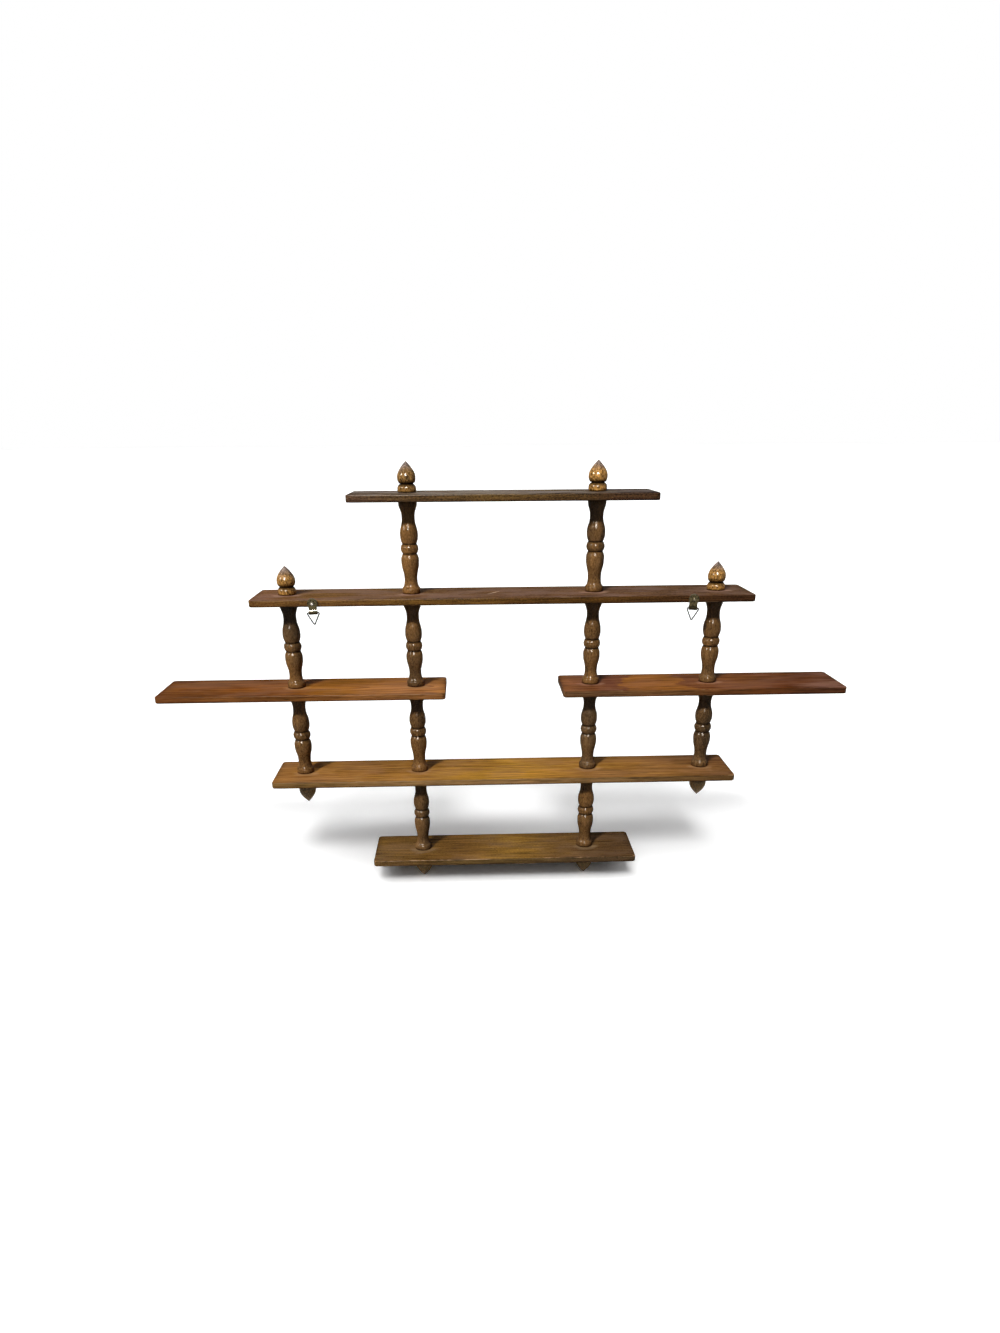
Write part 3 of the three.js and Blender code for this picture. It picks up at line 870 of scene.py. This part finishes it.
# The hanging drops: the finial's stain painted lighter, to stand in for the light that the shade
# under their shelves takes away, with a painted sheen towards the tip as on a finial
drop = {
    **finial,
    "grey": "ba9662", "warm": "ba9662", "tip": "9c8466",
    "shows": {"cloud": 0.5, "streak": 0.3, "fleck": 0.6, "speck": 0.7},
}


# A finial's outline from foot to point: collar, shoulder, groove and acorn
def finialOutline(stout):
    s = finial
    foot, collar = (s["footRadius"], 0), (s["collarRadius"], s["collarRise"])
    groove, widest = (s["grooveRadius"], s["grooveRise"]), s["acornRadius"] * stout
    acorn = (widest, s["acornRise"])
    curves = [
        (foot, (s["collarRadius"], 0), collar),
        (collar, (s["shoulderRadius"], s["shoulderRise"]), groove),
        (groove, (widest, s["grooveRise"]), acorn),
        (acorn, (widest, s["acornShoulder"]), (0, s["height"])),
    ]
    return chain(curves, s["curveSteps"])


# A standing finial has a tenon under its foot. A hanging one has a socket instead, and its
# heights are counted downwards
def makeFinial(name, finish):
    s = finial
    low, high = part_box(name)
    hangs = "drop" in name
    _, stout, *ends = turningOf(name)
    depth, radius, tall = (s[key] for key in ("socketDepth", "socketRadius", "height"))
    socket = np.array([(0, depth), (radius, depth), (radius, 0)])
    outline = np.vstack((socket if hangs else tenonOutline(), finialOutline(stout)))
    height = outline[:, 1:]
    # painted shade and stain in the groove and at the foot
    darkBands = (s["grooveRise"], 1.0, s["hollowWide"]), (0.0, s["footContactShade"], s["footContactShadeDeep"])
    stainAndShade = stainAndShadeAt(height, *darkBands)
    rise = np.clip(height / tall, 0, 1)
    marks = {"stainAndShade": stainAndShade, "warmth": warmthAt(rise, 1.0, *ends), "rise": rise}
    way, seat = (-1, low.z + tall) if hangs else (1, high.z - tall)
    turnPiece(name, outline * (1, way), seat, finish, s, **marks)


finialFinish = woodFinish("finial_wood", finial, turnedStain, turnedWear)
lightenedDropFinish = woodFinish("drop_wood_painted_lighter", drop, turnedStain, turnedWear)
for name in [name for name in nodes if "_finial_" in name or "_drop_" in name]:
    makeFinial(name, lightenedDropFinish if "_drop_" in name else finialFinish)
print("finials made")


# What all metal here shares
metal = {
    "stainGrain": (4.0, 0.6),  # detail and roughness
    "stainBand": (0.40, 0.65),
    "dullVaries": 0.25,
    "dullOffHighlight": 0.15,
    "scratch": ((1.0, 1.0, 0.08), 4000.0, 2.0),  # drawn out upwards, to a metre, detail
    "relief": 0.5, "reliefDeep": 0.00003,
}


# Metal: a base colour dulled to tarnish by noise, with fine scratches in its relief. Where its
# mark of painted light is over 0 it carries a painted highlight, and where it is under 0 painted
# shade, near black
def metalFinish(name, look):
    finish, tree, surface = newFinish(name, {"Metallic": 1.0})
    stain = noise(tree, (1.0, 1.0, 1.0), look["tarnishScale"], *metal["stainGrain"])
    tarnished = fade(tree, stain, *metal["stainBand"])
    colour = layer(tree, dye(look["metal"]), look["tarnish"], tarnished)
    rough = stretch(tree, stain, look["gloss"], look["gloss"] + metal["dullVaries"])
    if "bright" in look:
        # the worn mark: over 0 a painted highlight, under 0 painted shade
        worn = mark(tree, "worn")
        colour = layer(tree, colour, look["bright"], worn)
        rough = fade(tree, worn, 1.0, 0.0, look["gloss"] + metal["dullOffHighlight"])
    if "blackShow" in look:
        black = fade(tree, worn, 0.0, -1.0, look["blackShow"])
        colour = layer(tree, colour, look["tarnish"], black)
    dressSurface(tree, surface, metal, colour, rough, noise(tree, *metal["scratch"]))
    return finish


strap = {  # lengths in metres, heights from the bar
    "slot": "strap_metal",
    # bright is the colour of a painted highlight, and blackShow how dark the painted shade on the
    # roll is
    "metal": "463f2c", "tarnish": "1c190f", "bright": "f0eee8", "blackShow": 0.9,
    "tarnishScale": 500.0, "gloss": 0.3,
    "thickness": 0.0009, "slotWidth": 0.00015, "edgeRound": 0.00022,
    "rollRadius": 0.0020, "rollWidth": 0.0095, "closeRadius": 0.0012,
    "lobeRadius": 0.0056, "lobeStart": -math.pi / 6,
    "waist": 0.0080, "screwToBar": 0.0096,
    "holeRadius": 0.00165, "holeOver": 0.001, "holeDeep": 0.003,
    "lineSteps": (22, 44, 8, 18),  # of the lobe, the roll, its close and the front
    "sectionSteps": (16, 2, 4), "holeSteps": 40,
    # where the painted highlight and the painted shade lie on the roll, how wide they are, and how
    # strong the highlight is on each side
    "highlightAt": 0.0024, "highlightWide": 0.0012,
    "blackAt": -0.0004, "blackWide": 0.0019,
    "highlightShow": {"left": 1.0, "right": 0.0},
}
ring = {
    "slot": "ring_metal",
    "metal": "2e2d2c", "tarnish": "181716", "tarnishScale": 900.0,
    "gloss": 0.34,
    "wireRadius": 0.0007, "halfWidth": 0.0071, "drop": 0.0134,
    "cornerCut": 0.0021, "tipCut": 0.0020, "seam": 0.0003, "bevel": 0.8,
    "curveSteps": (12, 14, 16, 16), "steps": 20,
}
screw = {
    "slot": "screw_metal",
    # bright is the colour of the painted highlight on the crown
    "metal": "4e4632", "tarnish": "2c2618", "bright": "fffaf0",
    "tarnishScale": 700.0, "gloss": 0.2,
    "radius": 0.0013, "depth": 0.014, "point": 0.0034,
    "headRadius": 0.0025, "headHeight": 0.0017,
    "underHead": 0.00245,  # metres from the wall plane
    "slotWide": 0.0005, "slotDeep": 0.0007, "slotProud": 0.0001,
    "slotLong": 1.2,  # as a share of the head
    "slotTurn": 35,  # degrees
    "headSteps": 14, "steps": 48, "sharpAngle": 35,
    # how wide the painted highlight on the crown is, and how strong it is on each side
    "highlightWide": 0.0011,
    "highlightShow": {"left": 1.0, "right": 0.08},
}


# A hanger's axes from its joints: across is the bar's own axis, out points away from the
# wall edge and up runs from the bar to the screw
def hangerAxes(side):
    screwJoint, barJoint = joints[f"strap_swivel_{side}"], joints[f"ring_swing_{side}"]
    screwAt, barAt = (np.array(joint["pos_m"], float) for joint in (screwJoint, barJoint))
    across, out = -np.array(barJoint["axis"], float), np.array((0.0, -1.0, 0.0))
    return screwAt, barAt, np.stack((across, out, np.cross(out, across)))


# The strap's centre line from the back lobe round the bar to the front lobe, as distance out
# and height: a half turn and more about the bar, closed by a small turn the other way
def strapLine():
    s = strap
    half, lobe, close = s["thickness"] / 2, s["lobeRadius"], s["closeRadius"]
    roll = s["rollRadius"] - half
    barOut, barUp = s["rollRadius"], -s["screwToBar"]
    front = 1.5 * s["thickness"] + s["slotWidth"]
    closeOut = front + close
    closeUp = barUp + math.sqrt((roll + close) ** 2 - (closeOut - barOut) ** 2)
    meet = math.atan2(closeUp - barUp, closeOut - barOut)
    lobeSteps, rollSteps, closeSteps, frontSteps = s["lineSteps"]
    lobeUp = lobe * np.sin(np.linspace(np.pi / 2, 0, lobeSteps))
    turn = np.linspace(np.pi, 2 * np.pi + meet, rollSteps)
    back = np.linspace(meet + np.pi, np.pi, closeSteps)[1:]
    parts = (
        (half, lobeUp),
        (half, np.linspace(0, barUp, lobeSteps)[1:-1]),
        (barOut + roll * np.cos(turn), barUp + roll * np.sin(turn)),
        (closeOut + close * np.cos(back), closeUp + close * np.sin(back)),
        (front, np.linspace(closeUp, 0, frontSteps)[1:-1]),
        (front, lobeUp[::-1]),
    )
    return np.vstack([np.column_stack(np.broadcast_arrays(*part)) for part in parts])


# Half the strap's width at a height: a circle round the screw, then a quadratic waist
# (1 - t)^2 a + 2 t (1 - t) b + t^2 c down to the straight roll
def strapHalfWidth(up):
    s = strap
    rollTop = s["rollRadius"] - s["screwToBar"]
    lobeFoot = s["lobeRadius"] * math.sin(s["lobeStart"])
    lobeSide = s["lobeRadius"] * math.cos(s["lobeStart"])
    t = np.clip((up - rollTop) / (lobeFoot - rollTop), 0, 1)
    straight = s["rollWidth"] / 2
    waisted = (1 - t) ** 2 * straight + 2 * t * (1 - t) * s["waist"] / 2 + t**2 * lobeSide
    lobe = np.sqrt(np.maximum(s["lobeRadius"] ** 2 - up**2, 0))
    return np.where(up > lobeFoot, lobe, waisted)


# Points beside a line in its own plane: C + d N, where N is the way ahead turned by a quarter
def beside(line, ahead, distance):
    ahead = ahead / np.linalg.norm(ahead, axis=1, keepdims=True)
    return line[:, :1] - ahead[:, 1:] * distance, line[:, 1:] + ahead[:, :1] * distance


# The strap: a flat section of the width above, with round edges, carried along the line
def strapGrid():
    line = strapLine()
    alongX, alongY, outX, outY = roundRectangle(*strap["sectionSteps"])
    width = strapHalfWidth(line[:, 1:])
    edge = np.minimum(strap["edgeRound"], width)
    across = alongX * (width - edge) + outX * edge
    lift = alongY * (strap["thickness"] / 2 - strap["edgeRound"]) + outY * strap["edgeRound"]
    return np.stack((across, *beside(line, np.gradient(line, axis=0), lift)), axis=-1)


# A painted highlight on the strap's front above the roll, and painted shade in black on the roll,
# as a
# number below nothing: exp(-(d / w)^4) over the distance d from the middle of either band
def strapPaintedLight(grid, show):
    up = grid[..., 2] + strap["screwToBar"]
    bright = np.exp(-(((up - strap["highlightAt"]) / strap["highlightWide"]) ** 4))
    black = np.exp(-(((up - strap["blackAt"]) / strap["blackWide"]) ** 4))
    return show * bright * (grid[..., 1] > strap["rollRadius"]) - black


# The ring's centre line: half the bar, a round corner, a leg and the round tip, then its
# mirror image back to the seam
def ringLine():
    s = ring
    corner, tip = np.array((s["halfWidth"], 0)), np.array((0, -s["drop"]))
    leg = (tip - corner) / np.linalg.norm(tip - corner)
    seam, barEnd = (s["seam"] / 2, 0), (s["halfWidth"] - s["cornerCut"], 0)
    legTop, legFoot = corner + leg * s["cornerCut"], tip - leg * s["tipCut"]
    flip = (-1, 1)
    curves = [
        (seam, barEnd),
        (barEnd, corner, legTop),
        (legTop, legFoot),
        (legFoot, tip, legFoot * flip),
    ]
    half = chain(curves, s["curveSteps"])
    beforeTip = -s["curveSteps"][-1] - 2
    return np.vstack((half, half[beforeTip::-1] * flip))


# The wire: a circle carried along the ring's line, C + r (N cos a + B sin a), which closes
# with a small bevel at both ends
def ringGrid():
    line = ringLine()
    ahead = np.gradient(line, axis=0)
    twice = ((2, 2), (0, 0))  # two more rows at each end: the bevel and the pole
    line, ahead = np.pad(line, twice, "edge"), np.pad(ahead, twice, "edge")
    radius = np.full((len(line), 1), ring["wireRadius"])
    radius[[0, -1]] = 0
    radius[[1, -2]] *= ring["bevel"]
    angle = np.linspace(0, 2 * np.pi, ring["steps"], endpoint=False)
    across, up = beside(line, ahead, radius * np.cos(angle))
    return np.stack((across, radius * np.sin(angle), up), axis=-1)


# A screw's outline from its point to the crown of its round head
def screwOutline():
    s = screw
    top = s["underHead"] + s["headHeight"]
    point, pointEnd = (0, -s["depth"]), (s["radius"], s["point"] - s["depth"])
    rim, side, crown = (s["headRadius"], s["underHead"]), (s["headRadius"], top), (0, top)
    head = bend((rim, side, crown), s["headSteps"])
    return np.vstack(([point, pointEnd, (s["radius"], s["underHead"])], head))


# A painted highlight on a screw's crown: exp(-(r / w)^4) over the radius r
def screwPaintedLight():
    radius, height = screwOutline()[:, :1], screwOutline()[:, 1:]
    return np.exp(-((radius / screw["highlightWide"]) ** 4)) * (height > screw["underHead"])


# The cutter of a screw's slanting slot: a flat bar, wider than the head
def slotGrid():
    s = screw
    alongX, alongY, _, _ = roundRectangle(2, 2, 1)
    share = np.array((0, 1, 1, 0))[:, None]
    top = s["underHead"] + s["headHeight"]
    level = np.array((top - s["slotDeep"], top - s["slotDeep"], top, top))[:, None]
    long = s["slotLong"] * s["headRadius"] * alongX * share
    wide = s["slotWide"] / 2 * alongY * share
    turn = math.radians(s["slotTurn"])
    x = long * math.cos(turn) - wide * math.sin(turn)
    y = long * math.sin(turn) + wide * math.cos(turn)
    return np.stack((x, y, level + s["slotProud"] * (level == top) + 0 * x), axis=-1)


# One hanger: each piece is a grid of across, out and up, carried to its place by
# place + grid x axes
def makeHanger(side):
    screwAt, barAt, axes = hangerAxes(side)
    turnedAxes = axes[[0, 2, 1]]
    seat = screwAt + axes[1] * (-barAt[1] - strap["rollRadius"])
    grid = strapGrid()
    # a painted highlight and painted shade on the strap's roll
    worn = strapPaintedLight(grid, strap["highlightShow"][side])
    name = f"hanger_strap_{side}"
    lobes = makeSkin(f"{name}_folded", seat + grid @ axes, strapFinish, worn=worn)
    hole = rod(strap["holeRadius"], -strap["holeOver"], strap["holeDeep"])
    hole = turned(hole, (0, 0, 0), strap["holeSteps"])
    cutAway(lobes, [makeSkin("hole", screwAt + hole @ turnedAxes)])
    standFor(lobes, name)
    name = f"hanger_ring_{side}"
    wire = makeSkin(f"{name}_wire", barAt + ringGrid() @ axes, ringFinish)
    standFor(wire, name)
    name, sharp = f"hanger_screw_{side}", screw["sharpAngle"]
    body = screwAt + turned(screwOutline(), (0, 0, 0), screw["steps"]) @ turnedAxes
    # a painted highlight on the screw's crown
    worn = screwPaintedLight() * screw["highlightShow"][side]
    pin = makeSkin(f"{name}_slotted", body, screwFinish, sharp, worn=worn)
    cutAway(pin, [makeSkin("slot", screwAt + slotGrid() @ turnedAxes)], sharp)
    standFor(pin, name)
    return [lobes, wire, pin]


strapFinish = metalFinish("aged_brass", strap)
ringFinish = metalFinish("steel_wire", ring)
screwFinish = metalFinish("screw_steel", screw)
hangers = makeHanger("left") + makeHanger("right")
print("hangers made")

studio = {
    "floorReach": 60,  # metres
    "floorTone": "6c6c6c",
    "floorGain": 1.22,  # how far the camera sees the floor lifted to white
    "white": "ffffff",
    "airTone": "f4f6fa", "airStrength": 0.045,
}

# Lamps as far away as the sun. Each has the way towards it, its power, how many degrees it
# spreads and its tone; what it reaches, which is all, the object, its wood, its hangers or the
# floor; and whether it lights colour or gloss only
lamps = {
    "front_window": ((-0.45, -0.75, 0.60), 2.95, 4, "fff6ea", "object", "colour"),
    "gleam": ((-0.12, -0.86, 0.50), 30.0, 22, "fff4e6", "wood", "gloss"),
    "glint": ((-0.14, -0.88, 0.46), 5.0, 24, "fffaf4", "hangers", "gloss"),
    "side_gleam": ((-0.90, -0.42, 0.45), 9.0, 16, "fff4e6", "wood", "gloss"),
    "skylight": ((-0.288, -0.586, 1.0), 0.9, 24, "ffffff", "all", "colour"),
    "floor_wash": ((-0.05, -1.0, 1.0), 1.6, 12, "ffffff", "floor", "colour"),
    "floor_sky": ((0.0, -0.58, 1.0), 2.1, 80, "ffffff", "floor", "colour"),
    "back_window": ((0.0, 1.0, 0.35), 0.9, 12, "ffffff", "object", "colour"),
}


# Two looks of a surface or of the air: what camera, gloss and glass see, and what lights the rest
def twoLooks(owner, kind, output, seen, unseen):
    owner.use_nodes = True
    tree = owner.node_tree
    tree.nodes.clear()
    path = addNode(tree, "LightPath")
    direct = calc(tree, "MAXIMUM", path["Is Camera Ray"], path["Is Glossy Ray"])
    direct = calc(tree, "MAXIMUM", direct, path["Is Transmission Ray"])
    first, second = (addNode(tree, kind, inputs)[0] for inputs in (unseen, seen))
    both = addNode(tree, "MixShader", {0: direct, 1: first, 2: second})[0]
    addNode(tree, output, {"Surface": both})


# The air: dim light for the object, and white wherever it is seen directly
def paintAir():
    scene.world = bpy.data.worlds.new("air")
    dim = {"Color": dye(studio["airTone"]), "Strength": studio["airStrength"]}
    white = {"Color": dye(studio["white"]), "Strength": 1.0}
    twoLooks(scene.world, "Background", "OutputWorld", white, dim)


# The floor: matt, and so bright where it is seen directly that only shadow shows on it
def layFloor():
    reach, level = studio["floorReach"], cadBox[0].z
    mesh = bpy.data.meshes.new("floor")
    ways = ((-1, -1), (1, -1), (1, 1), (-1, 1))
    mesh.from_pydata([(x * reach, y * reach, level) for x, y in ways], [], [(0, 1, 2, 3)])
    finish = bpy.data.materials.new("pale_floor")
    bright = {"Color": (studio["floorGain"],) * 3 + (1.0,)}
    matt = {"Color": dye(studio["floorTone"])}
    twoLooks(finish, "BsdfDiffuse", "OutputMaterial", bright, matt)
    mesh.materials.append(finish)
    floor = addObject("floor", mesh)
    return floor


# Turns each lamp to shine from its way, and ties it to the pieces it reaches
def hangLamps(floor):
    reaches = {
        "object": ("EXCLUDE", [floor]),
        "wood": ("EXCLUDE", [floor, *hangers]),
        "hangers": ("INCLUDE", hangers),
        "floor": ("INCLUDE", [floor]),
    }
    for name, (towards, power, spread, tone, reach, lights) in lamps.items():
        data = bpy.data.lights.new(name, "SUN")
        data.energy = power
        data.angle = math.radians(spread)
        data.color = dye(tone)[:3]
        lamp = addObject(name, data)
        lamp.rotation_euler = Vector(towards).to_track_quat("Z", "Y").to_euler()
        lamp.visible_glossy = lights == "gloss"
        lamp.visible_diffuse = lights == "colour"
        if reach in reaches:
            state, pieces = reaches[reach]
            chosen = bpy.data.collections.new(f"{name}_receivers")
            lamp.light_linking.receiver_collection = chosen
            for piece in pieces:
                chosen.objects.link(piece)
            for linked in chosen.collection_objects:
                linked.light_linking.link_state = state


paintAir()
hangLamps(layFloor())
print("studio lit")
